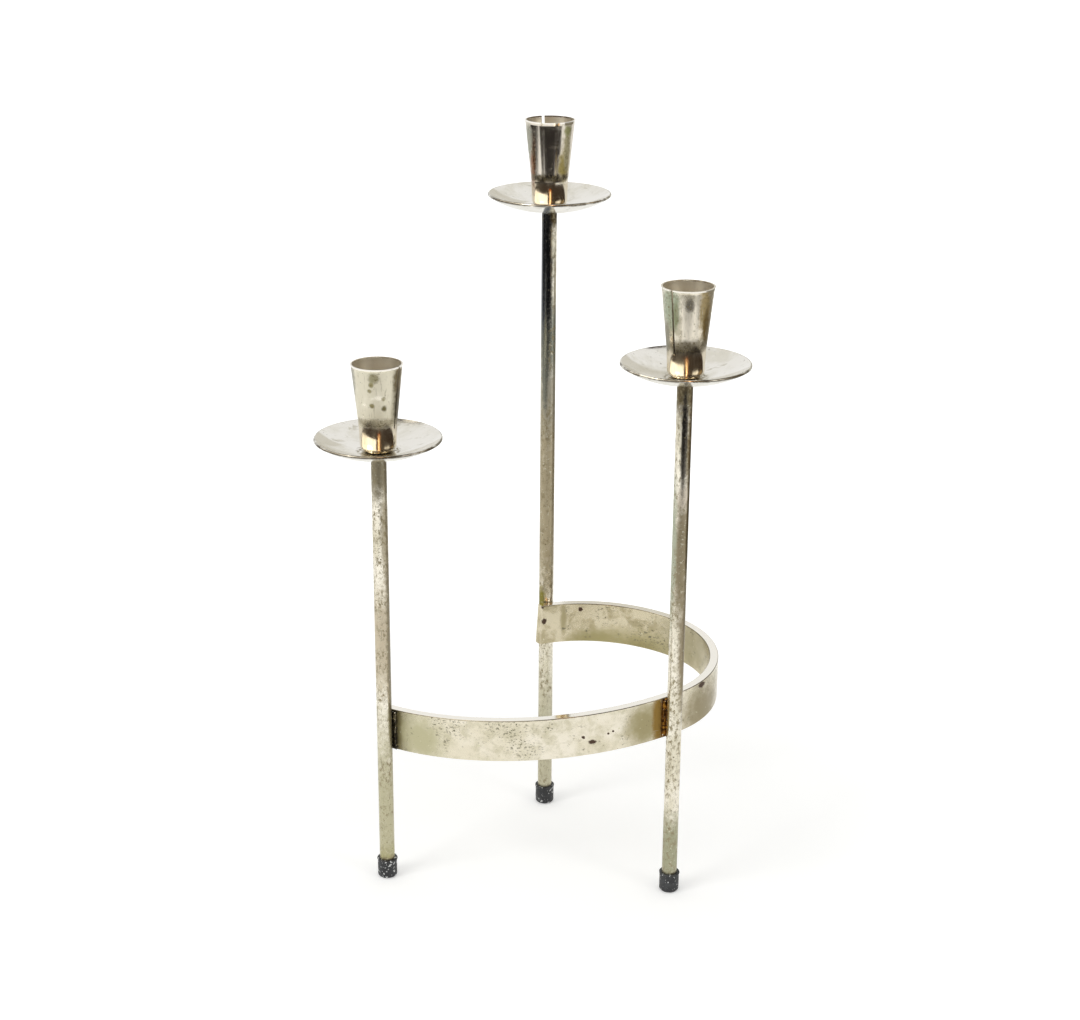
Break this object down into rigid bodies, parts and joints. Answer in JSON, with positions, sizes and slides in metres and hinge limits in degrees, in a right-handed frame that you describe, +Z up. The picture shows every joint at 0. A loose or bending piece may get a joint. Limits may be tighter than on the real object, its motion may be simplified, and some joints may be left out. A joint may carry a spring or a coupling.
{
  "type": "candlestick",
  "caption": "Candlestick of round rods on rubber feet, each with a dished drip pan and a slit tapered candle cup, joined by a flat bar that curves and climbs round them.",
  "frame": {"origin": "on the floor, under the centre of the bounding box", "axes": "+Z up; +X to the right and +Y to the back, seen from the front, where the shortest rod stands left and the tallest at the back"},
  "size_m": [0.2168, 0.1632, 0.3951],
  "materials": {
    "plated_rod": "tarnished silver plate on round steel rod",
    "plated_bar": "tarnished silver plate on flat steel bar",
    "plated_sheet": "worn silver plate on pressed sheet",
    "plated_cup": "spotted silver plate on drawn sheet",
    "screw": "dull steel",
    "filler": "darkened silver brazing alloy",
    "ferrule": "black moulded rubber"
  },
  "bodies": {
    "root": {"curved_band": "plated_bar", "left_stem": "plated_rod", "left_drip_pan": "plated_sheet", "left_candle_cup": "plated_cup", "left_cup_screw": "screw", "left_braze": "filler", "left_foot": "ferrule", "right_stem": "plated_rod", "right_drip_pan": "plated_sheet", "right_candle_cup": "plated_cup", "right_cup_screw": "screw", "right_braze": "filler", "right_foot": "ferrule", "back_stem": "plated_rod", "back_drip_pan": "plated_sheet", "back_candle_cup": "plated_cup", "back_cup_screw": "screw", "back_braze": "filler", "back_foot": "ferrule"}
  },
  "joints": []
}
